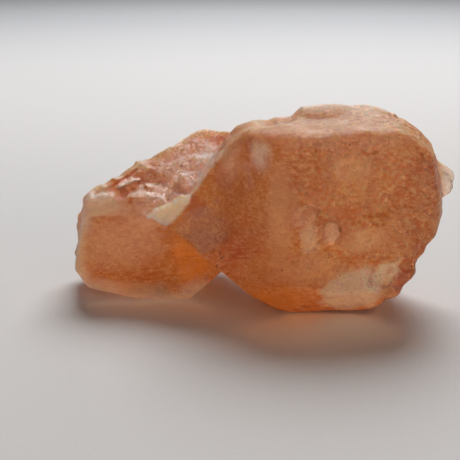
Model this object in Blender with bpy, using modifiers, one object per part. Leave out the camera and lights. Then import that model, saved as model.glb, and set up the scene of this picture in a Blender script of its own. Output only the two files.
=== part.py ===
"""Lithium quartz: a palm-sized specimen of two quartz crystals grown together.

The big crystal lies across the front with its point to the left. The small one stands behind its left end.
A thin flake sits on the right edge, a frosted chip on the big crystal's point, and growth ledges step up the
small crystal. All of it grew as one piece, so it is one closed solid.
X runs along the specimen, Y to the back and Z up. It rests on flat patches, and the origin is at the middle
of its footprint.
"""

import math
import random

import bmesh
import bpy
from mathutils import Matrix, Vector, noise

MM = 0.001

SPECIMEN = "lithium_quartz"
STONE_COLOUR = (0.42, 0.17, 0.075, 1.0)
STONE_ROUGHNESS = 0.38

# Sizes that drive the build
BLOCK = 120 * MM
GRAIN = 0.42 * MM
SMALLEST_STEP = 0.001 * MM
MOST_TRIANGLES = 9400
BED_LEVEL = 0.3 * MM

# A face is (clock angle in degrees, lean in degrees, distance in millimetres from the centre).
# The clock angle is 0 at +X and 90 straight up. The lean turns the face to the front (+) or the back (-).
BIG_CENTRE = (8.0, 7.0, 19.0)
BIG_FACES = {
    "smooth front": (188, 74, 14.3),
    "rough front": (8, 82, 13.0),
    "lower front": (272, 42, 17.6),
    "lit top": (90, 8, 17.4),
    "upper left bevel": (153, 38, 21.0),
    "top of the point": (145, 0, 19.4),
    "top left": (107, -6, 18.3),
    "underside of the point": (232, 0, 17.8),
    "underside left": (242, 0, 18.3),
    "underside": (276, 0, 18.9),
    "lower right": (320, 6, 21.0),
    "right": (346, 10, 23.2),
    "upper right": (8, 8, 23.8),
    "right shoulder": (50, 4, 23.1),
    "shoulder top": (72, 0, 20.7),
    "back": (30, -80, 15.0),
    "back upper": (92, -42, 16.1),
    "back lower": (268, -40, 19.0),
    "back right": (0, -48, 20.0),
    "back left": (175, -45, 20.0),
}

SMALL_CENTRE = (-19.0, 17.0, 15.5)
SMALL_FACES = {
    "front": (258, 82, 10.6),
    "lit top": (92, 36, 8.3),
    "left": (170, 8, 16.4),
    "left block": (138, 28, 15.4),
    "back slope": (128, -22, 10.5),
    "crest": (106, -18, 14.2),
    "crest right": (82, -14, 17.4),
    "lower left": (212, 8, 20.2),
    "underside left": (254, 0, 16.2),
    "underside": (274, 0, 15.4),
    "lower right": (314, 4, 14.8),
    "back": (80, -78, 13.5),
    "back lower": (262, -40, 14.6),
    "back left": (180, -48, 17.0),
    "right": (0, 0, 25.0),
}

# The flake behind the right edge and the frosted chip on the point are thin blocks of the same kind
FLAKE_CENTRE = (34.7, 12.0, 23.6)
FLAKE_FACES = {
    "front": (20, 80, 0.8),
    "back": (0, -84, 0.7),
    "upper edge": (58, 10, 1.7),
    "outer edge": (28, 0, 1.5),
    "lower edge": (326, 0, 1.9),
    "foot": (290, 10, 3.0),
    "root": (180, 0, 6.0),
}

CHIP_CENTRE = (-17.6, 3.0, 19.0)
CHIP_FACES = {
    "lit face": (114, 22, 0.5),
    "back edge": (122, -46, 1.6),
    "outer edge": (236, 10, 2.7),
    "inner edge": (318, 30, 4.4),
    "front edge": (270, 86, 3.8),
    "underside": (292, -12, 1.9),
    "right end": (20, 0, 5.3),
}

CRYSTALS = {
    "big": (BIG_CENTRE, BIG_FACES),
    "small": (SMALL_CENTRE, SMALL_FACES),
    "flake": (FLAKE_CENTRE, FLAKE_FACES),
    "chip": (CHIP_CENTRE, CHIP_FACES),
}

# Growth ledges: crystal, face, place, direction of the long side, then length, width and thickness
UP_THE_SLOPE = (0.84, 0.05, 0.54)
LEDGES = (
    ("small", "lit top", (-28.0, 12.2, 23.0), UP_THE_SLOPE, 8.0, 3.0, 1.8),
    ("small", "lit top", (-26.6, 11.4, 22.4), UP_THE_SLOPE, 6.0, 2.4, 1.3),
    ("small", "lit top", (-24.4, 14.4, 25.4), UP_THE_SLOPE, 8.0, 3.0, 1.6),
    ("small", "back slope", (-22.0, 20.0, 27.5), UP_THE_SLOPE, 12.0, 7.0, 1.1),
    ("small", "back slope", (-29.0, 19.0, 22.5), UP_THE_SLOPE, 10.0, 7.0, 0.9),
    ("small", "lit top", (-23.0, 9.0, 19.8), (1.0, 0.0, -0.2), 9.0, 3.4, 1.2),
    ("small", "lit top", (-31.0, 8.6, 19.8), (0.9, 0.2, 0.3), 7.0, 4.0, 1.3),
    ("small", "back", (-20.0, 30.0, 14.0), (0.6, 0.0, 0.8), 17.0, 11.0, 1.6),
    ("small", "back left", (-30.0, 26.0, 12.0), (0.2, 0.3, 0.9), 7.0, 4.0, 1.1),
    ("big", "lit top", (11.0, 7.5, 36.4), (1.0, 0.1, 0.0), 15.0, 6.0, 1.2),
    ("big", "lit top", (19.0, 9.0, 36.5), (1.0, -0.3, 0.0), 10.0, 5.0, 1.3),
    ("big", "top left", (-1.0, 8.0, 35.0), (0.95, 0.0, 0.3), 11.0, 6.0, 1.2),
    ("big", "back upper", (10.0, 16.0, 30.0), (1.0, 0.2, 0.0), 19.0, 8.0, 1.8),
    ("big", "back", (14.0, 22.0, 20.0), (1.0, 0.0, 0.3), 20.0, 12.0, 1.8),
    ("big", "back right", (27.0, 15.0, 21.0), (0.0, 0.2, 1.0), 9.0, 7.0, 1.2),
    ("big", "rough front", (19.5, -4.5, 14.6), (1.0, 0.0, 0.06), 17.0, 8.4, 1.1),
    ("big", "rough front", (27.0, -3.2, 24.0), (0.1, 0.0, 1.0), 15.0, 6.0, 1.0),
    ("big", "rough front", (15.0, -5.0, 31.5), (1.0, 0.0, 0.0), 13.0, 4.4, 1.0),
    ("big", "upper right", (31.5, 3.0, 24.5), (0.0, 0.1, 1.0), 6.0, 5.0, 1.0),
)

# Small crystals set by hand on the big crystal's rough front: place, radius and height
BUMPS = (
    ((11.0, -5.7, 18.3), 1.5, 1.5),
    ((10.2, -5.8, 16.6), 1.0, 1.1),
    ((7.8, -6.1, 20.9), 1.1, 0.9),
    ((6.6, -6.2, 19.6), 0.9, 0.8),
    ((6.8, -6.3, 16.0), 1.5, 0.8),
    ((15.0, -5.2, 29.0), 1.5, 0.8),
)

# Patches of small crystals: crystal, face, middle, reach, number, then smallest and largest radius
PATCHES = (
    ("big", "rough front", (14.0, -5.0, 24.0), 10.0, 30, 0.8, 1.7),
    ("big", "rough front", (24.0, -4.0, 20.0), 8.0, 14, 0.8, 1.6),
    ("big", "lit top", (16.0, 3.0, 36.3), 9.0, 16, 0.7, 1.3),
    ("small", "lit top", (-14.5, 14.5, 25.5), 7.0, 22, 0.6, 1.2),
    ("small", "crest", (-12.0, 20.0, 31.0), 5.0, 8, 0.7, 1.2),
    ("big", "back", (2.0, 22.0, 22.0), 9.0, 16, 0.9, 2.0),
    ("small", "back left", (-30.0, 24.0, 18.0), 6.0, 10, 0.8, 1.6),
)
PATCH_SEED = 11

# Conchoidal hollows: centre and radius of the ball that each hollow follows
HOLLOWS = (
    ((46.0, 34.0, 34.0), 24.0),
    ((6.0, 53.0, 33.0), 30.0),
    ((-34.0, 50.0, 10.0), 25.0),
    ((28.0, 42.0, 2.0), 24.0),
    ((-18.0, 45.0, 38.0), 21.0),
    ((16.0, -42.0, 6.0), 37.0),
    ((-27.0, -26.0, 30.0), 33.6),
)

# Natural relief
LUMP_SIZE = 6.5
LUMP_HEIGHT = 0.4 * MM
STEP_PITCH = 4.6
STEP_HEIGHT = 0.42 * MM
STEP_FALL = 0.82
CALM_SHARE = 0.22


def clear_scene():
    """Remove whatever the scene holds."""
    for item in list(bpy.data.objects):
        bpy.data.objects.remove(item, do_unlink=True)


def new_collection(name):
    """Add a collection to the scene."""
    collection = bpy.data.collections.new(name)
    bpy.context.scene.collection.children.link(collection)
    return collection


def face_direction(clock, lean):
    """Outward direction of a crystal face."""
    turn = math.radians(clock)
    tilt = math.radians(lean)
    return Vector((math.cos(turn) * math.cos(tilt), -math.sin(tilt), math.sin(turn) * math.cos(tilt)))


def on_face(crystal, face, place):
    """Outward direction of a named face, and the point of it nearest to a place given in millimetres."""
    centre, faces = CRYSTALS[crystal]
    clock, lean, distance = faces[face]
    outward = face_direction(clock, lean)
    spot = Vector(place)
    spot += outward * (distance - (spot - Vector(centre)).dot(outward))
    return outward, spot * MM


def is_inside(crystal, place, margin):
    """Whether a place on one face of a crystal lies within all its other faces, by a margin."""
    centre, faces = CRYSTALS[crystal]
    reach = place - Vector(centre) * MM
    beyond = [reach.dot(face_direction(clock, lean)) > distance * MM - margin
              for clock, lean, distance in faces.values()]
    return sum(beyond) <= 1


def add_crystal(stone, centre, faces):
    """Cut a block down to a crystal's flat faces and add it to the stone."""
    middle = Vector(centre) * MM
    block = bmesh.new()
    bmesh.ops.create_cube(block, size=BLOCK, matrix=Matrix.Translation(middle))
    for clock, lean, distance in faces.values():
        outward = face_direction(clock, lean)
        cut = bmesh.ops.bisect_plane(
            block,
            geom=block.verts[:] + block.edges[:] + block.faces[:],
            dist=SMALLEST_STEP,
            plane_co=middle + outward * distance * MM,
            plane_no=outward,
            clear_outer=True,
        )
        rim = [item for item in cut["geom_cut"] if isinstance(item, bmesh.types.BMEdge)]
        bmesh.ops.edgeloop_fill(block, edges=rim)
    bmesh.ops.recalc_face_normals(block, faces=block.faces[:])
    crystal = bpy.data.meshes.new("crystal")
    block.to_mesh(crystal)
    block.free()
    stone.from_mesh(crystal)
    bpy.data.meshes.remove(crystal)


def face_frame(place, outward, along):
    """Matrix with its Z axis out of a face and its X axis along the face."""
    side = outward.cross(along).normalized()
    forward = side.cross(outward).normalized()
    axes = Matrix((forward, side, outward)).transposed().to_4x4()
    return Matrix.Translation(place) @ axes


def add_ledge(stone, crystal, face, place, along, length, width, thickness):
    """Add a six-sided growth plate that lies flat on a face, half sunk into it."""
    outward, spot = on_face(crystal, face, place)
    size = Matrix.Diagonal((length * MM, width * MM, thickness * MM, 1.0))
    shape = face_frame(spot, outward, Vector(along)) @ size
    bmesh.ops.create_cone(
        stone, cap_ends=True, segments=6, radius1=0.54, radius2=0.46, depth=1.0, matrix=shape
    )


def add_point(stone, place, axis, radius, height):
    """Add a small six-sided crystal: a prism with a pyramid on it."""
    foot = face_frame(place, axis, axis.orthogonal())
    prism_length = height + radius
    prism = foot @ Matrix.Translation((0, 0, (height - radius) / 2))
    bmesh.ops.create_cone(
        stone, cap_ends=True, segments=6, radius1=radius, radius2=radius, depth=prism_length, matrix=prism
    )
    tip = foot @ Matrix.Translation((0, 0, height + radius * 0.3))
    bmesh.ops.create_cone(
        stone, cap_ends=True, segments=6, radius1=radius * 0.98, radius2=0, depth=radius * 0.7, matrix=tip
    )


def add_patch(stone, draw, crystal, face, middle, reach, count, smallest, largest):
    """Scatter small crystals over part of a face, each with its own size and tilt."""
    outward, spot = on_face(crystal, face, middle)
    frame = face_frame(spot, outward, outward.orthogonal())
    for _ in range(count):
        turn = draw.uniform(0, 2 * math.pi)
        distance = reach * math.sqrt(draw.random()) * MM
        place = frame @ Vector((distance * math.cos(turn), distance * math.sin(turn), 0))
        sway = Vector((draw.gauss(0, 1), draw.gauss(0, 1), draw.gauss(0, 1)))
        axis = (outward + sway * 0.22).normalized()
        radius = draw.uniform(smallest, largest) * MM
        height = radius * draw.uniform(-0.15, 0.35)
        if is_inside(crystal, place, radius):
            add_point(stone, place, axis, radius, height)


def calm(spot):
    """1 on the smooth faces at the front left, 0 on the rough rest of the stone. The spot is in millimetres."""
    big_smooth = smooth_step(5.0, 2.5, spot.x) * smooth_step(1.0, -1.0, spot.y)
    small_front = smooth_step(-8.0, -11.0, spot.x) * smooth_step(9.4, 8.2, spot.y)
    return max(big_smooth, small_front)


def smooth_step(start, end, value):
    """Rise from 0 at the start to 1 at the end."""
    share = min(max((value - start) / (end - start), 0.0), 1.0)
    return share * share * (3 - 2 * share)


def steps(spot):
    """Growth steps: a wavy saw-tooth between 0 and 1 that climbs slowly and falls at once."""
    bend = noise.noise(spot / 9.0) + 0.5 * noise.noise(spot / 3.5)
    climb = (spot.z * 0.8 + spot.x * 0.25 + spot.y * 0.55) / STEP_PITCH + bend
    share = climb - math.floor(climb)
    return share / STEP_FALL if share < STEP_FALL else (1 - share) / (1 - STEP_FALL)


def relief(spot):
    """Height of the natural relief at a spot, which is in millimetres."""
    lumps = noise.fractal(spot / LUMP_SIZE, 1.0, 2.1, 3) * LUMP_HEIGHT
    ledges = (steps(spot) - 0.5) * STEP_HEIGHT
    rough = 1 - (1 - CALM_SHARE) * calm(spot)
    near_bed = smooth_step(0.0, 3.0, spot.z)
    return (lumps + ledges) * rough * near_bed


def weather(mesh):
    """Press the hollows into the mesh, then give it its natural relief."""
    for centre, radius in HOLLOWS:
        ball = Vector(centre) * MM
        for vertex in mesh.vertices:
            reach = vertex.co - ball
            if reach.length < radius * MM:
                vertex.co = ball + reach.normalized() * radius * MM
    outward = [vertex.normal.copy() for vertex in mesh.vertices]
    for vertex, normal in zip(mesh.vertices, outward):
        vertex.co += normal * relief(vertex.co / MM)


def apply_modifiers(item):
    """Bake an object's modifiers into its mesh."""
    graph = bpy.context.evaluated_depsgraph_get()
    graph.update()
    baked = bpy.data.meshes.new_from_object(item.evaluated_get(graph))
    item.modifiers.clear()
    item.data = baked


def island(start):
    """All the points that edges join to a first one."""
    found = {start}
    edge_of_search = [start]
    while edge_of_search:
        point = edge_of_search.pop()
        fresh = {edge.other_vert(point) for edge in point.link_edges} - found
        found |= fresh
        edge_of_search.extend(fresh)
    return found


def drop_crumbs(mesh):
    """Keep the stone itself, and drop any grain or bubble that doesn't touch it."""
    skin = bmesh.new()
    skin.from_mesh(mesh)
    left = set(skin.verts)
    bodies = []
    while left:
        bodies.append(island(next(iter(left))))
        left -= bodies[-1]
    bodies.sort(key=len)
    crumbs = [point for body in bodies[:-1] for point in body]
    bmesh.ops.delete(skin, geom=crumbs, context="VERTS")
    skin.to_mesh(mesh)
    skin.free()


def fuse(stone):
    """Fuse all that grew together into one skin."""
    skin = stone.modifiers.new("fuse", "REMESH")
    skin.mode = "VOXEL"
    skin.voxel_size = GRAIN
    apply_modifiers(stone)
    drop_crumbs(stone.data)


def simplify(stone):
    """Keep the flat faces as a few large triangles and the relief as small ones."""
    stone.data.calc_loop_triangles()
    fewer = stone.modifiers.new("simplify", "DECIMATE")
    fewer.ratio = MOST_TRIANGLES / len(stone.data.loop_triangles)
    fewer.use_collapse_triangulate = True
    apply_modifiers(stone)


def bed_cutter(cutters):
    """The block below the level on which the stone rests."""
    bpy.ops.mesh.primitive_cube_add(size=1.0)
    cutter = bpy.context.object
    cutter.name = "bed_cutter"
    cutter.data.transform(Matrix.Diagonal((BLOCK, BLOCK, BLOCK / 4, 1.0)))
    cutter.location = (0, 0, BED_LEVEL - BLOCK / 8)
    cutter.hide_render = True
    cutter.display_type = "WIRE"
    for collection in list(cutter.users_collection):
        collection.objects.unlink(cutter)
    cutters.objects.link(cutter)
    return cutter


def stand_on_origin(stone):
    """Place the stone so that it rests at Z = 0 with the middle of its box over the origin."""
    places = [vertex.co for vertex in stone.data.vertices]
    low = Vector([min(place[axis] for place in places) for axis in range(3)])
    high = Vector([max(place[axis] for place in places) for axis in range(3)])
    middle = (low + high) / 2
    stone.location = (-middle.x, -middle.y, -low.z)


def stone_material():
    """Orange-brown quartz."""
    material = bpy.data.materials.new("lithium_quartz_stone")
    material.use_nodes = True
    shader = material.node_tree.nodes["Principled BSDF"]
    shader.inputs["Base Color"].default_value = STONE_COLOUR
    shader.inputs["Roughness"].default_value = STONE_ROUGHNESS
    shader.inputs["Metallic"].default_value = 0.0
    return material


def grown_mesh():
    """All the crystals, plates and points, still as separate shells."""
    stone = bmesh.new()
    for centre, faces in CRYSTALS.values():
        add_crystal(stone, centre, faces)
    for ledge in LEDGES:
        add_ledge(stone, *ledge)
    front = face_direction(*BIG_FACES["rough front"][:2])
    for place, radius, height in BUMPS:
        add_point(stone, Vector(place) * MM, front, radius * MM, height * MM)
    draw = random.Random(PATCH_SEED)
    for patch in PATCHES:
        add_patch(stone, draw, *patch)
    data = bpy.data.meshes.new(SPECIMEN)
    stone.to_mesh(data)
    stone.free()
    return data


def main():
    clear_scene()
    specimen = new_collection(SPECIMEN)
    cutters = new_collection("cutters")
    stone = bpy.data.objects.new(SPECIMEN, grown_mesh())
    specimen.objects.link(stone)
    fuse(stone)
    weather(stone.data)
    simplify(stone)
    bed = stone.modifiers.new("bed", "BOOLEAN")
    bed.operation = "DIFFERENCE"
    bed.object = bed_cutter(cutters)
    apply_modifiers(stone)
    stand_on_origin(stone)
    stone.data.materials.clear()
    stone.data.materials.append(stone_material())


main()
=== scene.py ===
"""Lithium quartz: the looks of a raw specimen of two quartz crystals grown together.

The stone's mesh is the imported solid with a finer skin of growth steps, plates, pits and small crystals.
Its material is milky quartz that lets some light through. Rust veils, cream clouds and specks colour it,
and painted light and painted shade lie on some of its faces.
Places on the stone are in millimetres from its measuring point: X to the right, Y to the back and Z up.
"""

import itertools
import math

import bmesh
import bpy
import numpy as np
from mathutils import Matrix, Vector, kdtree


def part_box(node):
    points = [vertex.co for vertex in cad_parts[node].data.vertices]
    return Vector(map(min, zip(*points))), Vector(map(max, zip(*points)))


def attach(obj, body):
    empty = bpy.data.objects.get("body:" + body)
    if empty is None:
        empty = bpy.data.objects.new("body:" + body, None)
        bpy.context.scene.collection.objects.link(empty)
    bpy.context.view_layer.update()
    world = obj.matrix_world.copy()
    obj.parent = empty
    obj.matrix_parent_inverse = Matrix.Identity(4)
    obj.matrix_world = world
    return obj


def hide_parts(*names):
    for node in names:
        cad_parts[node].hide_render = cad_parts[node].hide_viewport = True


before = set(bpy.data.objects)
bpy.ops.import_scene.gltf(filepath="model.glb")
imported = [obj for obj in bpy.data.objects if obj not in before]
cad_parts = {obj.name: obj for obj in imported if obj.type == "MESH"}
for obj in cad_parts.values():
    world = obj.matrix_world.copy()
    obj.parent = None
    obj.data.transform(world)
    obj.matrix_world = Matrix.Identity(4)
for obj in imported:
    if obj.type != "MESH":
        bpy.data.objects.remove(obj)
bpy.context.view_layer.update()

MM = 0.001
NODE = "lithium_quartz"
PIECE = "quartz_cluster"

# Where the measuring point of all the places below lies in the frame
MEASURING_POINT = np.array((0.65, -12.52, -0.30))

# The skin: its grain before and after its edges are worn, its most triangles and the angle of a sharp edge
SOFT_GRAIN = 0.40 * MM
SKIN_GRAIN = 0.20 * MM
SKIN_TRIANGLES = 192000
SHARP_ANGLE = math.radians(40)

# Rounds of blurring that wear the edges, those that wear the small crystal's crest more, and where it is,
# and those that show where the skin bends
SOFTENING = 60
CREST_SOFTENING = 240
CREST = ((-19.5, 18.5, 27.5), (7.0, 7.0, 6.0))
BEND_ROUNDS = 12

# The growth relief where it is strongest: how large each kind of form is, how high it stands, and how far
# the rough skin moves in so that the relief lies around the solid's face
TERRACE_SIZE = 3.6
TERRACE_LEVELS = 5
TERRACE_HEIGHT = 0.9
STEP_PITCH = 2.3
STEP_HEIGHT = 0.14
STEP_FALL = 0.80
GRIT_SIZE = 1.3
GRIT_HEIGHT = 0.10
PIT_PITCH = 3.4
PIT_DEPTH = 0.22
RELIEF_MIDDLE = 0.25

# The crusts' small crystals: how far their slopes lean, how high they stand for their pitch, how many of
# them may cover a place, how little a facet may face outwards, and a direction off all their axes
CRYSTAL_TILT = math.radians(26)
CRYSTAL_HEIGHT = 0.26
CRYSTALS_NEAR = 5
LEAST_FACING = 0.12
OFF_AXIS = (0.3, 0.5, -0.8)

# Outward directions of the faces that carry named forms, and the direction, up and back, that the faces
# with the most painted light face
SLOPE_OUT = (-0.03, -0.59, 0.81)
FRONT_OUT = (0.14, -0.99, 0.02)
PAINTED_LIGHT_OUT = (0.0, 0.5, 0.85)

# Plates that stand up from a face, and grooves in it: middle, direction of the long side, outward direction
# of the face, then length, width, height and the climb of its top across the width
PLATES = {
    "slab on the slope": ((-26.3, 15.0, 24.1), (0.72, 0.54, 0.44), SLOPE_OUT, 8.0, 2.4, 0.30, 0.05),
    "crease under the slab": ((-26.5, 13.6, 22.9), (0.72, 0.54, 0.44), SLOPE_OUT, 6.6, 0.7, -0.55, 0.0),
    "glossy strip": ((-25.8, 12.3, 22.1), (0.84, 0.43, 0.33), SLOPE_OUT, 5.4, 1.3, 0.45, -0.30),
    "ridge at the foot of the slope": ((-23.7, 9.2, 19.9), (1.0, 0.0, 0.0), SLOPE_OUT, 3.0, 0.6, 0.30, 0.0),
    "small bump beside the pale bump": ((7.6, -6.2, 20.9), (0.4, 0.0, 0.9), FRONT_OUT, 2.4, 1.5, 0.45, 0.0),
    "small bump above that": ((6.0, -6.3, 22.2), (0.9, 0.0, 0.4), FRONT_OUT, 2.2, 1.3, 0.40, 0.0),
    "small bump left of that": ((5.6, -6.4, 19.6), (0.7, 0.0, 0.7), FRONT_OUT, 1.8, 1.2, 0.35, 0.0),
    "foot of the pale bump": ((9.3, -5.9, 15.7), (0.9, 0.0, 0.3), FRONT_OUT, 2.4, 1.5, 0.35, 0.0),
    "haze plate high on the front": ((14.5, -5.1, 29.2), (0.8, 0.0, 0.5), FRONT_OUT, 7.5, 5.0, 0.20, 0.0),
}

# The width of a plate's edge, and how far off its middle's height its face may bend
PLATE_EDGE = 0.35
PLATE_REACH = 3.0

# Outlines seen from the front and a little above, as corners in X and in the height Z + SLANT * Y.
# LEAF_TOP is the leaf's upper edge, and PALE_BORDER is a line with a pale border of painted light along it,
# where light shines through the thin edge.
SLANT = 0.268
LEAF = (
    (-13.5, 23.4), (-15.1, 23.0), (-16.8, 22.2), (-18.1, 21.5), (-19.4, 21.0), (-20.6, 20.6), (-21.1, 19.8),
    (-22.2, 19.3), (-22.0, 18.8), (-20.9, 18.7), (-19.9, 17.8), (-18.5, 17.2), (-18.0, 17.3), (-16.4, 18.8),
    (-14.8, 20.7), (-13.9, 21.8),
)
LEAF_TOP = LEAF[:8]
# The outline of painted shade on the big crystal beside the leaf
SHADE = ((-13.2, 23.3), (-10.9, 22.1), (-10.9, 20.6), (-12.8, 18.4), (-14.6, 20.6))
CORNER = (
    (-39.0, 16.2), (-34.2, 17.4), (-32.6, 18.9), (-30.9, 19.3), (-29.0, 19.7), (-26.9, 20.8),
    (-28.4, 22.6), (-30.1, 23.9), (-30.8, 25.5), (-39.0, 26.0),
)
CREAM_PATCH = (
    (10.0, 2.5), (9.9, 5.2), (11.5, 7.2), (14.5, 8.7), (18.8, 9.8), (23.4, 10.9),
    (23.7, 9.2), (21.4, 6.4), (19.8, 4.2), (19.5, 2.2), (14.1, 1.2),
)
SHOULDER = (
    (12.9, 14.6), (14.1, 16.5), (15.3, 17.8), (17.9, 18.3), (18.8, 17.2), (22.8, 17.6),
    (25.5, 16.4), (24.6, 13.0), (20.2, 10.6), (15.0, 10.5), (12.9, 12.3),
)
FOOT = (
    (-27.3, 20.5), (-25.1, 21.3), (-22.2, 19.6), (-20.5, 18.1), (-18.5, 17.0),
    (-19.2, 15.5), (-21.4, 16.6), (-23.3, 17.2), (-25.1, 17.7), (-26.8, 19.0),
)
PALE_BORDER = (
    (-34.8, 17.8), (-36.8, 10.3), (-34.0, 5.0), (-28.5, 3.7), (-24.5, 2.8), (-17.0, 2.3), (-12.0, 5.0),
)

# The leaf's plane: how far back it lies, and how fast it recedes along X and with height
LEAF_BACK = -11.4
LEAF_TURN = -0.437
LEAF_LEAN = 0.37
LEAF_THICKNESS = 1.2

# Broad swells, and hollows where the height is below zero: middle, reach along X, Y and Z, and height
SWELLS = {
    "pale bump": ((10.9, -5.8, 17.9), (2.1, 4.0, 2.8), 0.5),
    "top of the bump": ((10.9, -5.8, 18.1), (1.6, 3.0, 2.2), 0.5),
    "pit beside the glossy strip": ((-26.5, 10.3, 20.6), (1.2, 1.6, 1.2), -0.55),
    "right rim": ((32.5, 2.0, 20.5), (7.0, 14.0, 7.0), 0.6),
    "hollow under the right rim": ((29.0, -1.5, 12.2), (3.5, 7.0, 3.5), -0.6),
    "lower right corner": ((24.8, -2.0, 6.8), (5.0, 7.0, 4.5), 0.9),
    "left end of the top": ((-4.0, 4.0, 36.0), (7.0, 9.0, 5.0), -0.6),
    "dip left on the top": ((2.0, 8.5, 36.5), (5.0, 8.0, 4.0), -1.1),
    "crown of the top": ((10.0, 9.0, 37.3), (6.5, 6.0, 3.0), 0.6),
    "saddle in the small crystal's crest": ((-20.3, 18.5, 28.5), (6.0, 6.0, 5.0), -0.6),
    "low end of the crest": ((-27.3, 15.5, 24.5), (3.5, 4.0, 3.0), -0.7),
    "left side": ((-37.5, 16.0, 9.5), (3.0, 9.0, 5.0), -0.8),
}

# Small facets that glint on the rough parts: place and radius
GLINTS = (
    ((13.5, -5.1, 32.3), 0.45), ((16.9, -4.6, 31.6), 0.35), ((15.4, -5.0, 25.1), 0.30),
    ((24.4, 2.7, 36.0), 0.50), ((-16.2, 16.1, 25.2), 0.50), ((-13.6, 13.5, 23.6), 0.40),
    ((-20.5, 8.9, 19.5), 0.45), ((-22.6, 12.0, 22.0), 0.35),
)


def rise(value, start, end):
    """0 before the start and 1 past the end, with a smooth climb between."""
    share = np.clip((value - start) / (end - start), 0.0, 1.0)
    return share * share * (3 - 2 * share)


def chance(cells, seed):
    """An even random number between -1 and 1 for each whole-numbered cell, the same in each run."""
    mixed = cells @ np.array((73856093, 19349663, 83492791)) + seed * 97911
    mixed = ((mixed ^ (mixed >> 15)) * 2246822519) & 0xFFFFFFFF
    mixed = ((mixed ^ (mixed >> 13)) * 3266489917) & 0xFFFFFFFF
    return ((mixed ^ (mixed >> 16)) & 0xFFFF) / 32767.5 - 1


def noise(places, size, seed=0):
    """Smooth noise between -1 and 1 with bumps about as large as the size."""
    grid = places / size
    cell = np.floor(grid).astype(np.int64)
    share = grid - cell
    share = share * share * (3 - 2 * share)
    total = np.zeros(len(places))
    for corner in itertools.product((0, 1), repeat=3):
        weight = np.where(np.array(corner) == 1, share, 1 - share).prod(axis=1)
        total += weight * chance(cell + corner, seed)
    return total


def rough_noise(places, size, seed=0, octaves=3):
    """Noise with finer and finer bumps on it."""
    layers = [noise(places, size / 2 ** level, seed + level) / 2 ** level for level in range(octaves)]
    return sum(layers)


def near(places, middle, reach):
    """1 at the middle of an ellipsoid, 0 outside its reach."""
    distance = np.linalg.norm((places - np.array(middle)) / np.array(reach), axis=1)
    return rise(distance, 1.0, 0.5)


def unit(vector):
    """The direction of a vector."""
    return np.array(vector) / np.linalg.norm(vector)


def plate_share(places, middle, along, outward, length, width):
    """1 on a six-sided plate that lies on a face, and how far each place is across it from its middle."""
    outward = unit(outward)
    along = unit(np.array(along) - (np.array(along) @ outward) * outward)
    offset = places - np.array(middle)
    across = offset @ np.cross(outward, along)
    wander = rough_noise(places, 2.0, seed=81) * 0.08 * min(width, 5.0)
    from_side = width / 2 - np.abs(across)
    from_end = (length / 2 - np.abs(offset @ along)) * math.sin(math.pi / 3) - np.abs(across) / 2
    on_plate = rise(np.minimum(from_side, from_end) + wander, 0.0, PLATE_EDGE)
    return on_plate * rise(PLATE_REACH - np.abs(offset @ outward), 0.0, 1.0), across


def named_plate(places, name):
    """1 on the plate or groove of the given name."""
    return plate_share(places, *PLATES[name][:5])[0]


def seen_from_front(places):
    """X and the slanted height of each place."""
    x, y, z = places.T
    return np.stack((x, z + SLANT * y), axis=1)


def from_line(places, corners):
    """How far each place is from a run of straight lines, seen from the front."""
    spots = seen_from_front(places)
    nearest = np.full(len(places), np.inf)
    for start, end in itertools.pairwise(np.array(corners)):
        along = end - start
        share = np.clip((spots - start) @ along / (along @ along), 0, 1)
        nearest = np.minimum(nearest, np.linalg.norm(spots - start - np.outer(share, along), axis=1))
    return nearest


def inside(places, corners, edge, wander=0.2):
    """1 inside an outline seen from the front, with an edge of the given width that wanders a little."""
    x, z = seen_from_front(places).T
    closed = (*corners, corners[0])
    crossings = np.zeros(len(places), dtype=int)
    for (x1, z1), (x2, z2) in itertools.pairwise(closed):
        if z1 != z2:
            between = (z1 > z) != (z2 > z)
            crossings += between & (x < x1 + (z - z1) * (x2 - x1) / (z2 - z1))
    depth = np.where(crossings % 2 == 1, 1, -1) * from_line(places, closed)
    return rise(depth + rough_noise(places, 1.6, seed=82) * wander, -edge / 2, edge / 2)


def leaf_front(x, height):
    """How far back the leaf's front lies at a place that is seen from the front."""
    return LEAF_BACK + LEAF_TURN * x + LEAF_LEAN * height


def leaf_share(places):
    """1 on the frosted leaf at the big crystal's left corner."""
    x, height = seen_from_front(places).T
    behind = np.abs(places[:, 1] - leaf_front(x, height) - LEAF_THICKNESS / 2)
    return inside(places, LEAF, 0.5, 0.0) * rise(behind, LEAF_THICKNESS * 1.5, LEAF_THICKNESS)


def leaf_rim(places):
    """1 along the granular upper edge of the leaf."""
    return leaf_share(places) * rise(from_line(places, LEAF_TOP), 1.2, 0.4)


def leaf_prism():
    """The leaf as a thin slab, as corners and faces in metres."""
    corners = []
    for depth in (0.0, LEAF_THICKNESS):
        for x, height in LEAF:
            y = leaf_front(x, height) + depth
            corners.append((np.array((x, y, height - SLANT * y)) + MEASURING_POINT) * MM)
    count = len(LEAF)
    sides = [(k, (k + 1) % count, (k + 1) % count + count, k + count) for k in range(count)]
    return corners, [tuple(reversed(range(count))), tuple(range(count, 2 * count))] + sides


def add_leaf(stone):
    """Join the leaf to the stone's mesh."""
    form = bmesh.new()
    form.from_mesh(stone.data)
    corners, faces = leaf_prism()
    points = [form.verts.new(corner) for corner in corners]
    slab = [form.faces.new([points[k] for k in face]) for face in faces]
    bmesh.ops.recalc_face_normals(form, faces=slab)
    form.to_mesh(stone.data)
    form.free()


def evaluated(item):
    """Bake an object's modifiers into its mesh."""
    graph = bpy.context.evaluated_depsgraph_get()
    graph.update()
    baked = bpy.data.meshes.new_from_object(item.evaluated_get(graph))
    item.modifiers.clear()
    item.data = baked


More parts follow.
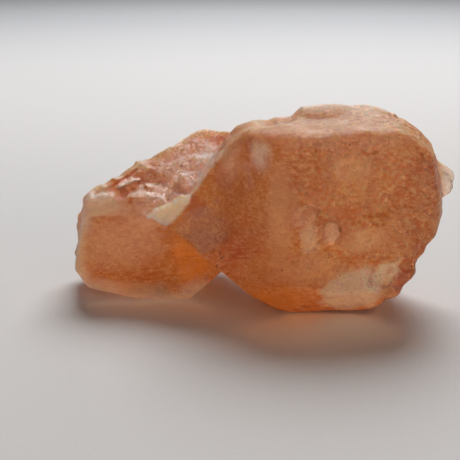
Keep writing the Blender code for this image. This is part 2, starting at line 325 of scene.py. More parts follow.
def even_skin(stone, grain, rounds):
    """Turn the mesh into small even quads and wear it smooth a little."""
    skin = stone.modifiers.new("skin", "REMESH")
    skin.mode = "VOXEL"
    skin.voxel_size = grain
    worn = stone.modifiers.new("worn", "SMOOTH")
    worn.factor = 0.5
    worn.iterations = rounds
    evaluated(stone)


def copy_solid(node):
    """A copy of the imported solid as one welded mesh."""
    stone = bpy.data.objects.new(PIECE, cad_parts[node].data.copy())
    bpy.context.scene.collection.objects.link(stone)
    weld = stone.modifiers.new("weld", "WELD")
    weld.merge_threshold = 0.01 * MM
    return stone


def read_vectors(items, name):
    """The named vectors of a mesh's points as an array."""
    found = np.zeros(len(items) * 3)
    items.foreach_get(name, found)
    return found.reshape(-1, 3)


def blurred_skin(mesh, points, rounds):
    """Each point's place after it has moved to the middle of its neighbours a number of times."""
    pairs = np.zeros(len(mesh.edges) * 2, dtype=np.int64)
    mesh.edges.foreach_get("vertices", pairs)
    first, second = pairs.reshape(-1, 2).T
    count = np.bincount(pairs, minlength=len(points))
    blurred = points.copy()
    for _ in range(rounds):
        total = [np.bincount(first, blurred[second, axis], len(points))
                 + np.bincount(second, blurred[first, axis], len(points)) for axis in range(3)]
        blurred = 0.5 * blurred + 0.5 * np.stack(total, axis=1) / count[:, None]
    return blurred


def soften(stone):
    """Round off the crystals' edges, most on the big crystal's front and top."""
    mesh = stone.data
    points = read_vectors(mesh.vertices, "co")
    places = points / MM - MEASURING_POINT
    x, y, z = places.T
    share = 0.15 + 0.5 * rise(x, -12.0, -6.0) * rise(y, 9.0, 3.0)
    share *= 1 - 0.9 * rise(x, 15.0, 21.0) * rise(z, 16.0, 11.0)
    share += (1 - share) * rise(x, -8.0, -4.0) * rise(z, 29.0, 33.0) * rise(y, 14.0, 9.0)
    share *= rise(z, 1.0, 6.0)
    blurred = blurred_skin(mesh, points, SOFTENING)
    worn = points + (blurred - points) * share[:, None]
    crest = near(places, *CREST)
    worn += (blurred_skin(mesh, worn, CREST_SOFTENING) - worn) * crest[:, None]
    mesh.vertices.foreach_set("co", worn.ravel())
    mesh.update()


def smooth_faces(places):
    """1 on the smooth faces at the front left, 0 on the rough rest."""
    x, y, z = places.T
    big = rise(x, 5.0, 1.5) * rise(y, 2.0, 0.0)
    small = rise(x, -8.0, -11.0) * rise(y, 9.6, 8.4) * rise(z, 20.5, 18.5)
    return np.maximum(big, small)


def glassy_patch(places):
    """1 on the bare glassy patch in the middle of the small crystal's slope."""
    return near(places, (-20.6, 12.6, 22.6), (5.2, 4.0, 3.6))


def growth_steps(places, rise_line, pitch, seed):
    """A saw-tooth that climbs slowly along a line and drops at once, as growth steps do."""
    bend = rough_noise(places, 7.0, seed)
    climb = places @ np.array(rise_line) / pitch + bend
    share = climb - np.floor(climb)
    return np.where(share < STEP_FALL, share / STEP_FALL, (1 - share) / (1 - STEP_FALL)) - 0.5


def terraces(places, size, levels, seed):
    """Flat growth terraces with short steep steps between them, from 0 to 1."""
    climb = (rough_noise(places, size, seed, 2) * 0.5 + 0.5) * levels
    whole = np.floor(climb)
    return (whole + rise(climb - whole, 0.7, 1.0)) / levels


def stretched(places, along, factor):
    """Places squeezed along a direction, so that what is laid out on them comes out longer that way."""
    along = unit(along)
    return places - np.outer(places @ along, along) * (1 - 1 / factor)


def seeds_on(places, pitch, draw):
    """Pick points of a surface, about a pitch apart."""
    order = draw.permutation(len(places))
    cells = np.floor(places[order] / pitch).astype(int)
    _, first = np.unique(cells, axis=0, return_index=True)
    return order[first]


def crystal_facets(axis, spin, tilt):
    """Outward directions of a small crystal's facets: its flat top, its six slopes and its six sides."""
    axis = unit(axis)
    first = unit(np.cross(axis, OFF_AXIS))
    second = np.cross(axis, first)
    turns = [math.radians(spin + 60 * step) for step in range(6)]
    sides = [math.cos(turn) * first + math.sin(turn) * second for turn in turns]
    slopes = [math.cos(tilt) * axis + math.sin(tilt) * side for side in sides]
    return [axis] + slopes + sides


def crystal_sizes(count, pitch, draw):
    """How far the top, the six slopes and the six sides of each small crystal lie from its seed."""
    tall = draw.uniform(0.1, 1.0, count) * CRYSTAL_HEIGHT * pitch
    reach = np.empty((count, 13))
    reach[:, 0] = tall * draw.uniform(0.75, 1.0, count)
    reach[:, 1:7] = (tall * math.cos(CRYSTAL_TILT))[:, None] * draw.uniform(0.9, 1.25, (count, 6))
    reach[:, 7:] = pitch * draw.uniform(0.4, 0.75, (count, 6))
    return reach


def nearest_seeds(places, seeds):
    """The numbers of the seeds that are nearest to each place."""
    tree = kdtree.KDTree(len(seeds))
    for index, spot in enumerate(places[seeds]):
        tree.insert(spot, index)
    tree.balance()
    return np.array([[index for _, index, _ in tree.find_n(spot, CRYSTALS_NEAR)] for spot in places])


def small_crystals(places, normals, axis, pitch, seed):
    """How far a crust of small crystals stands out. All point the same way, as grown on one crystal."""
    draw = np.random.default_rng(seed)
    seeds = seeds_on(places, pitch, draw)
    facets = crystal_facets(axis, draw.uniform(0, 60), CRYSTAL_TILT)
    reach = crystal_sizes(len(seeds), pitch, draw)
    out = np.zeros(len(places))
    for index in nearest_seeds(places, seeds).T:
        offset = places - places[seeds[index]]
        limit = np.full(len(places), np.inf)
        for number, facet in enumerate(facets):
            spare = reach[index, number] - offset @ facet
            facing = normals @ facet
            height = spare / np.maximum(facing, LEAST_FACING)
            limit = np.where(facing > LEAST_FACING, np.minimum(limit, height), limit)
            limit = np.where((facing <= LEAST_FACING) & (spare < 0), -np.inf, limit)
        out = np.maximum(out, limit)
    return np.minimum(out, CRYSTAL_HEIGHT * pitch)


def pits(places, pitch, seed):
    """Small round pits at chance places, as depth from 0 to 1."""
    cell = np.floor(places / pitch).astype(np.int64)
    depth = np.zeros(len(places))
    for step in itertools.product((-1, 0, 1), repeat=3):
        home = cell + step
        shift = np.stack([chance(home, seed + k) for k in range(3)], axis=1) * 0.4 + 0.5
        size = 0.12 + 0.10 * (chance(home, seed + 3) + 1)
        there = chance(home, seed + 4) > 0.3
        distance = np.linalg.norm(places / pitch - home - shift, axis=1) / size
        depth = np.maximum(depth, np.where(there, 1 - rise(distance, 0.3, 1.0), 0.0))
    return depth


def facing_up(normals):
    """1 where the skin faces up, 0 where it stands."""
    return rise(normals[:, 2], 0.25, 0.5)


def facing_front(normals):
    """1 where the skin faces the front."""
    return rise(-normals[:, 1], 0.3, 0.7)


def crusts(places, normals):
    """Where small crystals cover the stone: share, axis, pitch and seed of each crust."""
    x, y, _ = places.T
    up = facing_up(normals)
    front = rise(-normals[:, 1], 0.6, 0.8) * rise(x, 3.0, 7.0)
    patchy = rise(noise(places, 4.0, seed=21), -0.35, 0.25)
    behind = rise(y, 9.0, 14.0) * (1 - up)
    slope = up * rise(x, -5.0, -8.0) * rise(x, -30.0, -22.0) * (1 - glassy_patch(places))
    shoulder = up * near(places, (25.0, 4.0, 35.0), (9.0, 9.0, 5.0))
    top = up * patchy * rise(x, -9.0, -5.0)
    bumps = near(places, (9.5, -5.5, 20.5), (6.5, 6.0, 6.5))
    return (
        (slope * 0.7, (-0.10, -0.50, 0.86), 0.8, 61),
        (np.maximum(shoulder, top * 0.25), (0.05, -0.25, 0.97), 1.4, 62),
        (front * np.maximum(bumps * 0.8, patchy * 0.3), (0.1, -0.97, 0.2), 1.1, 63),
        (behind * patchy * 0.7, (0.2, 0.9, 0.3), 2.2, 64),
    )


def roughness_of_form(places, normals):
    """How strong the growth relief is at each place, from 0 to 1."""
    x, y, z = places.T
    hidden = rise(y, 10.0, 16.0)
    calm_top = facing_up(normals) * rise(x, -9.0, -6.0)
    left_edge = rise(x, -27.0, -31.0) * rise(y, 26.0, 18.0)
    slope = facing_up(normals) * rise(x, -9.0, -11.0)
    share = 0.45 + 0.35 * hidden
    share *= 1 - 0.7 * calm_top
    share *= 1 - 0.9 * left_edge
    share *= 1 - 0.65 * slope
    share *= 1 - 0.4 * rise(x, -6.0, -9.0) * rise(z, 16.0, 22.0)
    share *= 1 - 0.45 * rise(x, -6.0, -9.0) * rise(y, 18.0, 23.0)
    share *= 1 - 0.7 * glassy_patch(places)
    share *= 1 - 0.85 * inside(places, CREAM_PATCH, 2.0) * rise(y, 3.0, 0.0)
    return share * (1 - smooth_faces(places))


def add_crusts(height, places, normals):
    """Add the crusts of small crystals to how far the skin moves out."""
    for share, axis, pitch, seed in crusts(places, normals):
        share = share * (1 - smooth_faces(places))
        covered = share > 0.01
        crystals = small_crystals(places[covered], normals[covered], axis, pitch, seed)
        height[covered] += share[covered] * crystals


def relief(places, normals):
    """How far each point of the skin moves out, in millimetres."""
    rough = roughness_of_form(places, normals)
    long_way = stretched(places, (0.8, 0.1, 0.6), 2.2)
    height = (terraces(long_way, TERRACE_SIZE, TERRACE_LEVELS, seed=71) - 0.5) * TERRACE_HEIGHT * rough
    height += growth_steps(places, (0.35, 0.5, 1.0), STEP_PITCH, seed=3) * STEP_HEIGHT * rough
    height += rough_noise(places, GRIT_SIZE, seed=31) * GRIT_HEIGHT * rough
    height -= pits(places, PIT_PITCH, seed=41) * PIT_DEPTH * rough
    add_crusts(height, places, normals)
    for middle, along, outward, length, width, tall, climb in PLATES.values():
        share, across = plate_share(places, middle, along, outward, length, width)
        height += share * (tall + climb * across)
    for middle, reach, tall in SWELLS.values():
        height += near(places, middle, reach) * tall
    for middle, radius in GLINTS:
        height += rise(np.linalg.norm(places - np.array(middle), axis=1), radius * 1.5, 0.0) * radius * 0.9
    height += leaf_rim(places) * (0.15 + 0.3 * np.abs(rough_noise(places, 0.7, seed=91)))
    height += leaf_share(places) * rough_noise(places, 0.9, seed=92) * 0.12
    height += inside(places, SHOULDER, 0.4) * facing_front(normals) * 0.2
    return height - RELIEF_MIDDLE * rough


def roughen(stone):
    """Move the skin's points by the relief."""
    mesh = stone.data
    points = read_vectors(mesh.vertices, "co")
    normals = read_vectors(mesh.vertices, "normal")
    places = points / MM - MEASURING_POINT
    moved = points + normals * (relief(places, normals) * MM)[:, None]
    mesh.vertices.foreach_set("co", moved.ravel())
    mesh.update()


def lighten(stone):
    """Spend triangles only where the skin bends."""
    stone.data.calc_loop_triangles()
    fewer = stone.modifiers.new("fewer", "DECIMATE")
    fewer.ratio = min(SKIN_TRIANGLES / len(stone.data.loop_triangles), 1.0)
    fewer.use_collapse_triangulate = True
    evaluated(stone)


def keep_in_box(stone):
    """Keep the skin inside the solid's box."""
    low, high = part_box(NODE)
    points = np.clip(read_vectors(stone.data.vertices, "co"), np.array(low), np.array(high))
    stone.data.vertices.foreach_set("co", points.ravel())
    stone.data.update()


def strongest(*shares):
    """The highest of some shares at each place."""
    return np.max(shares, axis=0)


def colour_patches(places, normals):
    """1 on each patch that has a colour of its own, and on the border of painted light and the patch of
    painted shade, 0 off it.
    """
    x, y, _ = places.T
    left_side = rise(-normals[:, 0], 0.5, 0.85) * rise(y, 9.0, 13.0)
    off_the_side = 1 - 0.7 * left_side
    # Partly the frosted skin of the small crystal's slope and partly painted light: paler where it faces up
    slope = facing_up(normals) * rise(x, -9.0, -11.0) * rise(y, 4.5, 6.0)
    ragged = rise(rough_noise(places, 1.8, seed=95), -0.9, 0.3)
    wander = rough_noise(places, 2.2, seed=97) * 0.9
    # Painted light: a pale border along the small crystal's thin lower and left edges, where light shines
    # through
    border = rise(from_line(places, PALE_BORDER) + wander, 2.8, 0.4) * rise(y, 16.0, 12.0)
    pink = near(places, (-2.2, -5.5, 31.2), (3.4, 4.0, 4.0))
    return {
        "slope": np.maximum(slope, inside(places, FOOT, 1.4, 0.7) * 0.8) * ragged,
        "cream": inside(places, CREAM_PATCH, 1.0, 0.6) * rise(-normals[:, 1], 0.0, 0.3),
        "corner": inside(places, CORNER, 0.4) * rise(y, 20.0, 16.0) * off_the_side,
        "border": border * off_the_side,
        # Painted shade beside the leaf
        "shade": inside(places, SHADE, 0.4) * facing_front(normals),
        "pink": pink * rise(rough_noise(places, 1.1, seed=96), -0.9, 0.1),
    }


def skin_shares(places, normals, bend):
    """Where the skin has its patches, and where it is grainy, frosted, rusty, glossy and so on."""
    x, y, z = places.T
    up = facing_up(normals)
    facing = facing_front(normals)
    down = rise(-normals[:, 2], 0.0, 0.4)
    back = rise(y, 12.0, 18.0)
    rough = 1 - smooth_faces(places)
    patches = colour_patches(places, normals)
    leaf = leaf_share(places)
    strip = named_plate(places, "glossy strip")
    bump = near(places, SWELLS["pale bump"][0], (3.2, 4.0, 4.0))
    band = near(places, (-10.5, 15.5, 25.5), (4.0, 9.0, 9.0)) * up
    slope = up * rise(x, -5.0, -9.0) * rise(x, -25.0, -20.0) * (1 - glassy_patch(places))
    shoulder = up * near(places, (25.0, 2.0, 35.5), (8.0, 8.0, 4.0))
    top = up * rise(x, -9.0, -5.0) * (1 - shoulder)
    bevel = up * rise(y, 9.0, 7.0) * rise(x, -17.0, -14.0)
    # Painted shade: the skin that faces down near the floor is painted dark and lets less light through,
    # which also darkens the shadow on the floor
    under = rise(-normals[:, 2], 0.7, 0.95) * rise(z, 12.0, 6.0) * (1 - 0.7 * rise(x, -8.0, -12.0))
    edges = rise(bend, 0.02, 0.16) * rough * (1 - 0.7 * facing) * (1 - 0.6 * back)
    creases = rise(-bend, 0.02, 0.09) * 0.6 * rough
    glints = [near(places, middle, (3 * radius,) * 3) * 1.3 for middle, radius in GLINTS]
    return patches | {
        "grainy": strongest(facing * rise(x, 2.0, 7.0), up * rough * 0.55),
        "frost": strongest(
            leaf_rim(places) * 1.2, leaf * 1.05, band, strip * 0.9, slope * 0.4, edges * 0.3,
        ),
        "rust": strongest(named_plate(places, "crease under the slab"), creases),
        "gloss": strongest(strip, bump, glassy_patch(places) * 0.6, *glints),
        "drusy": strongest(leaf, slope * 0.9, shoulder * 0.7, band * 0.7),
        "matt": strongest(top, bevel, leaf, down, back),
        "cloudy": strongest(
            leaf, under, band * 0.7, slope * 0.7, strip * 0.5, bevel * 0.5, up * rough * 0.5,
            patches["cream"] * 0.6, patches["border"] * 0.5, patches["corner"] * 0.3, patches["pink"] * 0.8,
        ),
        "under": under,
        # Painted light: paler colour on the rough faces that turn up and back, towards the lamps
        "lit": rise(normals @ unit(PAINTED_LIGHT_OUT), 0.0, 0.8) * rough,
    }


def paint(stone):
    """Store the skin's shares on the mesh, for its material."""
    mesh = stone.data
    points = read_vectors(mesh.vertices, "co")
    normals = read_vectors(mesh.vertices, "normal")
    places = points / MM - MEASURING_POINT
    bend = ((points - blurred_skin(mesh, points, BEND_ROUNDS)) * normals).sum(axis=1) / MM
    for name, values in skin_shares(places, normals, bend).items():
        layer = mesh.attributes.new(name, "FLOAT", "POINT")
        layer.data.foreach_set("value", values.astype(np.float32))


def srgb(red, green, blue):
    """A colour given as 0 to 255 on a screen, as the shader wants it."""
    shares = [value / 255 for value in (red, green, blue)]
    linear = [s / 12.92 if s <= 0.04045 else ((s + 0.055) / 1.055) ** 2.4 for s in shares]
    return (*linear, 1.0)


class Nodes:
    """Short ways to add shader nodes to a material."""

    def __init__(self, tree):
        self.tree = tree

    def add(self, kind, **settings):
        """A new node of a kind, with its settings."""
        node = self.tree.nodes.new(kind)
        for name, value in settings.items():
            setattr(node, name, value)
        return node

    def put(self, socket, value):
        """Link a socket to an output, or give it a fixed value."""
        if isinstance(value, bpy.types.NodeSocket):
            self.tree.links.new(value, socket)
        else:
            socket.default_value = value

    def math(self, operation, first, second=0.0, clamp=False):
        """Work out a number from two numbers."""
        node = self.add("ShaderNodeMath", operation=operation, use_clamp=clamp)
        self.put(node.inputs[0], first)
        self.put(node.inputs[1], second)
        return node.outputs[0]

    def vector(self, operation, first, second=(0, 0, 0), output=0):
        """Work out a vector, or a number, from two vectors."""
        node = self.add("ShaderNodeVectorMath", operation=operation)
        self.put(node.inputs[0], first)
        self.put(node.inputs[1], second)
        return node.outputs[output]

    def scaled(self, vector, factor):
        """A vector times a number."""
        node = self.add("ShaderNodeVectorMath", operation="SCALE")
        self.put(node.inputs[0], vector)
        self.put(node.inputs["Scale"], factor)
        return node.outputs[0]

    def painted(self, name, strength=1.0):
        """A share that is stored on the mesh, times a strength."""
        stored = self.add("ShaderNodeAttribute", attribute_name=name).outputs["Fac"]
        return self.math("MULTIPLY", stored, strength)

    def noise(self, vector, size, detail=3.0, rough=0.55, colour=False):
        """Noise with bumps about as large as the size, in millimetres."""
        node = self.add("ShaderNodeTexNoise")
        self.put(node.inputs["Vector"], vector)
        node.inputs["Scale"].default_value = 1 / size
        node.inputs["Detail"].default_value = detail
        node.inputs["Roughness"].default_value = rough
        return node.outputs["Color" if colour else "Fac"]

    def cells(self, vector, size):
        """Random cells about as large as the size, in millimetres."""
        node = self.add("ShaderNodeTexVoronoi", feature="F1")
        self.put(node.inputs["Vector"], vector)
        node.inputs["Scale"].default_value = 1 / size
        return node

    def ramp(self, value, start, end, low=0.0, high=1.0):
        """Rise from low to high between two values."""
        node = self.add("ShaderNodeMapRange", interpolation_type="SMOOTHSTEP")
        self.put(node.inputs["Value"], value)
        for name, number in (("From Min", start), ("From Max", end), ("To Min", low), ("To Max", high)):
            node.inputs[name].default_value = number
        return node.outputs[0]

    def mix(self, share, first, second):
        """A share of the second colour over the first."""
        node = self.add("ShaderNodeMix", data_type="RGBA")
        self.put(node.inputs[0], share)
        self.put(node.inputs[6], first)
        self.put(node.inputs[7], second)
        return node.outputs[2]


# The stone's colours. The milk colour also serves as painted light, and the rust colour as painted shade.
MAIN = srgb(208, 130, 46)
DEEP = srgb(194, 92, 18)
FLECK = srgb(246, 200, 126)
RUST_AND_SHADE = srgb(178, 72, 18)
VEIN = srgb(192, 74, 12)
CREAM = srgb(255, 248, 226)
MILK_AND_PAINTED_LIGHT = srgb(250, 210, 156)
FROST = srgb(255, 238, 228)
PINK = srgb(255, 214, 188)
SPECK = srgb(84, 30, 14)
AMBER = srgb(244, 134, 22)
HONEY = srgb(206, 116, 22)
CLEAR = srgb(255, 238, 222)
STREAK = srgb(176, 62, 6)

# Coloured clouds inside the stone, and some of painted light: middle, reach along X, Y and Z, colour and
# strength
CLOUDS = {
    "cream about the low patch": ((17.4, -4.0, 7.6), (8.0, 8.0, 4.2), CREAM, 0.55),
    "milky left of the cream": ((7.0, -5.0, 10.6), (7.0, 8.0, 3.4), MILK_AND_PAINTED_LIGHT, 0.55),
    "grey-white patch beside the bump": ((7.2, -6.0, 16.6), (1.8, 4.0, 3.0), CREAM, 0.7),
    "haze high on the big crystal": ((14.3, -5.0, 29.3), (4.0, 4.0, 3.4), MILK_AND_PAINTED_LIGHT, 0.75),
    "haze right of the bump": ((16.5, -5.0, 16.4), (4.6, 4.0, 2.4), MILK_AND_PAINTED_LIGHT, 0.7),
    "deep orange by the bump": ((13.8, -5.3, 21.3), (4.2, 4.0, 2.0), DEEP, 1.0),
    "orange above the bump": ((8.5, -5.5, 25.0), (2.6, 4.0, 3.4), DEEP, 0.7),
    "dark orange below the top": ((13.4, -4.6, 34.2), (1.8, 4.0, 2.0), RUST_AND_SHADE, 0.6),
    "faint veil on the smooth face": ((-3.8, -5.0, 27.6), (1.6, 4.0, 3.0), FROST, 0.3),
    "pale bevel": ((-8.6, -3.0, 29.8), (4.2, 5.0, 7.5), CLEAR, 0.85),
    "pink veil on the small crystal": ((-27.0, 7.0, 12.0), (8.0, 4.0, 6.0), PINK, 0.3),
    "pale small bumps": ((6.4, -6.3, 20.8), (2.4, 3.0, 2.4), FROST, 0.35),
    "pale left of the rough face": ((2.2, -6.0, 22.0), (2.6, 4.0, 9.0), MILK_AND_PAINTED_LIGHT, 0.5),
    "amber foot": ((1.0, -2.0, 4.0), (7.0, 9.0, 4.0), HONEY, 0.85),
    "rust spot at the foot": ((8.8, -2.0, 2.8), (2.4, 5.0, 1.8), RUST_AND_SHADE, 0.65),
    "brown right of the cream": ((25.0, -3.6, 8.0), (3.2, 6.0, 3.0), RUST_AND_SHADE, 0.85),
    # Painted light: a pale band under the top edge that carries the lit top's paleness onto the front
    "veil under the top edge": ((10.0, -3.0, 33.9), (17.0, 5.0, 2.0), PINK, 0.55),
    "orange by the notch": ((-14.0, 7.3, 9.5), (4.4, 5.0, 5.5), AMBER, 0.85),
    "rust over the notch": ((-18.2, 6.7, 14.0), (2.0, 3.0, 2.2), DEEP, 0.7),
    # Painted light: the next two are a pale glow along the small crystal's thin lower and left edges
    "pale border under the small crystal": ((-27.0, 8.0, 1.6), (11.0, 5.0, 3.2), MILK_AND_PAINTED_LIGHT, 0.6),
    "pale left border of the small crystal": ((-35.6, 10.0, 8.0), (2.4, 9.0, 8.0), MILK_AND_PAINTED_LIGHT, 0.6),
    "pale bump": ((10.9, -6.5, 18.0), (2.0, 3.0, 2.5), FROST, 0.6),
    "orange right of the bump": ((13.6, -5.5, 17.6), (1.6, 3.0, 2.4), DEEP, 0.7),
    "frosted band beside the big crystal": ((-10.5, 15.0, 26.0), (3.2, 6.0, 6.0), FROST, 0.6),
    "red at the foot of the slope": ((-21.5, 8.6, 19.3), (4.4, 2.0, 1.2), RUST_AND_SHADE, 0.4),
    "rust pit": ((-26.6, 10.2, 20.6), (1.3, 2.0, 1.3), RUST_AND_SHADE, 0.9),
    "pale flake": ((36.5, 12.0, 23.6), (5.0, 5.0, 6.0), FROST, 0.9),
    # The next two are partly the frosted skin of the big crystal's top and partly painted light from above
    "pale top": ((14.0, 8.0, 38.6), (26.0, 14.0, 4.0), CREAM, 0.6),
    "pale left of the top": ((-3.0, 4.0, 36.0), (6.0, 8.0, 2.4), MILK_AND_PAINTED_LIGHT, 0.6),
    # Painted light: the glow of light through the big crystal's thin right rim
    "pale right rim": ((31.0, 0.0, 19.0), (2.0, 6.0, 8.0), MILK_AND_PAINTED_LIGHT, 0.6),
}

# Clouds that show only as fine rust streaks along X
STREAKS = {
    "veins on the smooth face": ((-4.3, -4.2, 13.6), (4.6, 3.0, 1.7), 1.6),
    "faint veins on the smooth face": ((-4.0, -4.2, 16.0), (6.0, 3.0, 4.0), 0.4),
    "veins low on the small crystal": ((-22.0, 7.5, 5.4), (6.5, 3.0, 2.6), 0.9),
    "veins by the notch": ((-16.0, 7.3, 10.5), (5.0, 3.0, 4.0), 0.5),
    "veins right of the cream": ((24.6, -4.0, 8.6), (3.0, 4.0, 2.6), 0.8),
    "veins on the foot of the slope": ((-21.5, 8.8, 19.6), (4.5, 2.0, 1.4), 0.8),
}

# Dark specks just under the skin: place and radius
SPECKS = (
    ((-3.9, -5.0, 32.7), 0.22), ((-2.1, -5.5, 31.7), 0.26), ((-5.6, -4.3, 26.9), 0.24),
    ((-4.5, -4.6, 26.0), 0.18), ((-4.8, -4.4, 21.7), 0.16), ((-3.2, -4.6, 17.6), 0.20),
    ((-8.0, -3.1, 13.1), 0.26), ((-7.5, -3.2, 12.4), 0.22), ((-8.5, -2.9, 11.0), 0.18),
    ((7.0, -6.4, 14.6), 0.26), ((7.2, -6.3, 14.1), 0.22), ((4.8, -6.7, 12.6), 0.18),
    ((18.5, -4.8, 10.7), 0.18), ((4.4, -7.1, 7.9), 0.16), ((13.8, -5.0, 33.7), 0.24),
    ((-23.8, 7.3, 9.5), 0.22), ((-31.0, 6.7, 15.2), 0.16), ((28.2, -2.9, 26.0), 0.18),
)

# Colours and strengths of the patches that are stored on the mesh
PATCH_COLOURS = {
    # Partly frosted skin and partly painted light on the small crystal's upward slope
    "slope": (PINK, 0.85),
    "cream": (CREAM, 0.9),
    "corner": (CLEAR, 0.95),
    # Painted light: the pale border along the small crystal's thin edges
    "border": (CLEAR, 0.75),
    # Painted shade: the patch beside the leaf, in the rust colour
    "shade": (RUST_AND_SHADE, 0.85),
    "pink": (CLEAR, 0.9),
}

# How large the colour's forms are, how far its clouds drift, the least share of flecks, and where the
# second layer of flecks takes its noise from
BROAD_SIZE = 8.0
DRIFT_SIZE = 4.0
DRIFT = 4.0
PATCH_SIZE = 3.0
FLECK_SIZE = 0.65
LEAST_FLECKS = 0.45
OTHER_FLECKS = (31.0, 17.0, 5.0)
FIBRE_SIZE = 0.5
STREAK_SIZE = 0.55
SPECK_SPACING = 2.6

# How large the forms of the finish and of the finest relief are, and how much its facets tilt everywhere
SATIN_SIZE = 2.2
RIPPLE_SIZE = 0.45
WAVE_SIZE = 1.1
DIMPLE_SIZE = 2.4
BUMP_HEIGHT = 0.12 * MM
BUMP_STRENGTH = 0.8
FACET_SIZE = 0.5
LEAST_TILT = 0.2

# How the quartz bends, lets through, scatters and soaks up light
QUARTZ_IOR = 1.54
SPECULAR_LEVEL = 0.35
CLEAREST = 0.88
CLOUDIEST = 0.3
SCATTER_REACH = 14 * MM
SCATTER_COLOURS = (1.0, 0.45, 0.2)
ABSORPTION_COLOUR = (0.94, 0.6, 0.33, 1.0)
ABSORPTION_DENSITY = 11.0


def cloud_share(make, place, middle, reach, strength):
    """How strong a cloud is at a place."""
    offset = make.vector("DIVIDE", make.vector("SUBTRACT", place, middle), reach)
    distance = make.vector("LENGTH", offset, output="Value")
    return make.ramp(distance, 1.25, 0.35, 0.0, strength)


def mottled(make, place, drifted, base, strength):
    """Fine pale and rusty flecks, strong on the rough parts, and faint fibres all over."""
    patches = make.ramp(make.noise(place, PATCH_SIZE, 3.0), 0.36, 0.56, 0.5, 1.0)
    grainy = make.math("MULTIPLY", make.painted("grainy"), patches)
    share = make.math("ADD", grainy, LEAST_FLECKS)
    flecks = make.noise(make.vector("MULTIPLY", place, (0.7, 1.0, 1.0)), FLECK_SIZE, 4.0, 0.75)
    pale = make.ramp(flecks, 0.51, 0.60, 0.0, 0.6 * strength)
    rusty = make.ramp(flecks, 0.49, 0.40, 0.0, 0.65 * strength)
    base = make.mix(make.math("MULTIPLY", pale, share), base, FLECK)
    base = make.mix(make.math("MULTIPLY", rusty, share), base, VEIN)
    fibres = make.noise(make.vector("MULTIPLY", drifted, (0.45, 0.6, 1.0)), FIBRE_SIZE, 4.0, 0.8)
    base = make.mix(make.ramp(fibres, 0.51, 0.60, 0.0, 0.45 * strength), base, FLECK)
    return make.mix(make.ramp(fibres, 0.49, 0.38, 0.0, 0.6 * strength), base, RUST_AND_SHADE)


def streaked(make, place, drifted, base):
    """Fine rust streaks along X, in the clouds that STREAKS gives."""
    lines = make.noise(make.vector("MULTIPLY", place, (0.25, 0.5, 1.0)), STREAK_SIZE, 4.0, 0.65)
    streak = make.ramp(lines, 0.46, 0.60)
    for middle, reach, strength in STREAKS.values():
        share = make.math("MULTIPLY", cloud_share(make, drifted, middle, reach, strength), streak)
        base = make.mix(share, base, STREAK)
    return base


def specked(make, place, drifted, base):
    """Dark specks: small ones at chance places, and those that SPECKS gives."""
    cells = make.cells(place, SPECK_SPACING)
    draw = make.vector("DOT_PRODUCT", cells.outputs["Color"], (1, 0, 0), output="Value")
    picked = make.ramp(draw, 0.80, 0.82)
    dots = make.math("MULTIPLY", make.ramp(cells.outputs["Distance"], 0.075, 0.05), picked)
    for spot, radius in SPECKS:
        distance = make.vector("DISTANCE", drifted, spot, output="Value")
        dots = make.math("MAXIMUM", dots, make.ramp(distance, radius * 1.7, radius * 0.9))
    return make.mix(make.math("MULTIPLY", dots, 0.85), base, SPECK)


def colour_of_stone(make, place):
    """The stone's colour: a mottled base, painted light, clouds, patches, streaks, rust in creases, frost,
    painted shade and specks.
    """
    wander = make.vector("SUBTRACT", make.noise(place, DRIFT_SIZE, 4.0, 0.6, colour=True), (0.5, 0.5, 0.5))
    drifted = make.vector("ADD", place, make.scaled(wander, DRIFT))
    base = make.mix(make.ramp(make.noise(place, BROAD_SIZE, 5.0, 0.6), 0.38, 0.62), MAIN, DEEP)
    # Painted light: the milk colour over the faces that turn up and back, towards the lamps
    base = make.mix(make.painted("lit", 0.65), base, MILK_AND_PAINTED_LIGHT)
    base = mottled(make, place, drifted, base, 1.0)
    for middle, reach, colour, strength in CLOUDS.values():
        base = make.mix(cloud_share(make, drifted, middle, reach, strength), base, colour)
    for name, (colour, strength) in PATCH_COLOURS.items():
        base = make.mix(make.painted(name, strength), base, colour)
    base = mottled(make, make.vector("ADD", place, OTHER_FLECKS), drifted, base, 0.35)
    base = streaked(make, place, drifted, base)
    base = make.mix(make.painted("rust", 0.75), base, RUST_AND_SHADE)
    base = make.mix(make.painted("frost", 0.8), base, FROST)
    # Painted shade: the rust colour on the skin that faces down near the floor
    base = make.mix(make.painted("under", 0.8), base, RUST_AND_SHADE)
    return specked(make, place, drifted, base)


def roughness_of_stone(make, place):
    """Satin faces, frosted and matt parts, and glossy or sparkling ones."""
    satin = make.ramp(make.noise(place, SATIN_SIZE, 4.0, 0.6), 0.3, 0.7, 0.34, 0.5)
    dull = make.math("MAXIMUM", make.painted("frost", 0.15), make.painted("matt", 0.35))
    sparkling = make.math("MAXIMUM", make.painted("drusy"), make.painted("grainy"))
    shine = make.math("MAXIMUM", make.painted("gloss", 0.3), make.math("MULTIPLY", sparkling, 0.12))
    return make.math("SUBTRACT", make.math("ADD", satin, dull), shine, clamp=True)


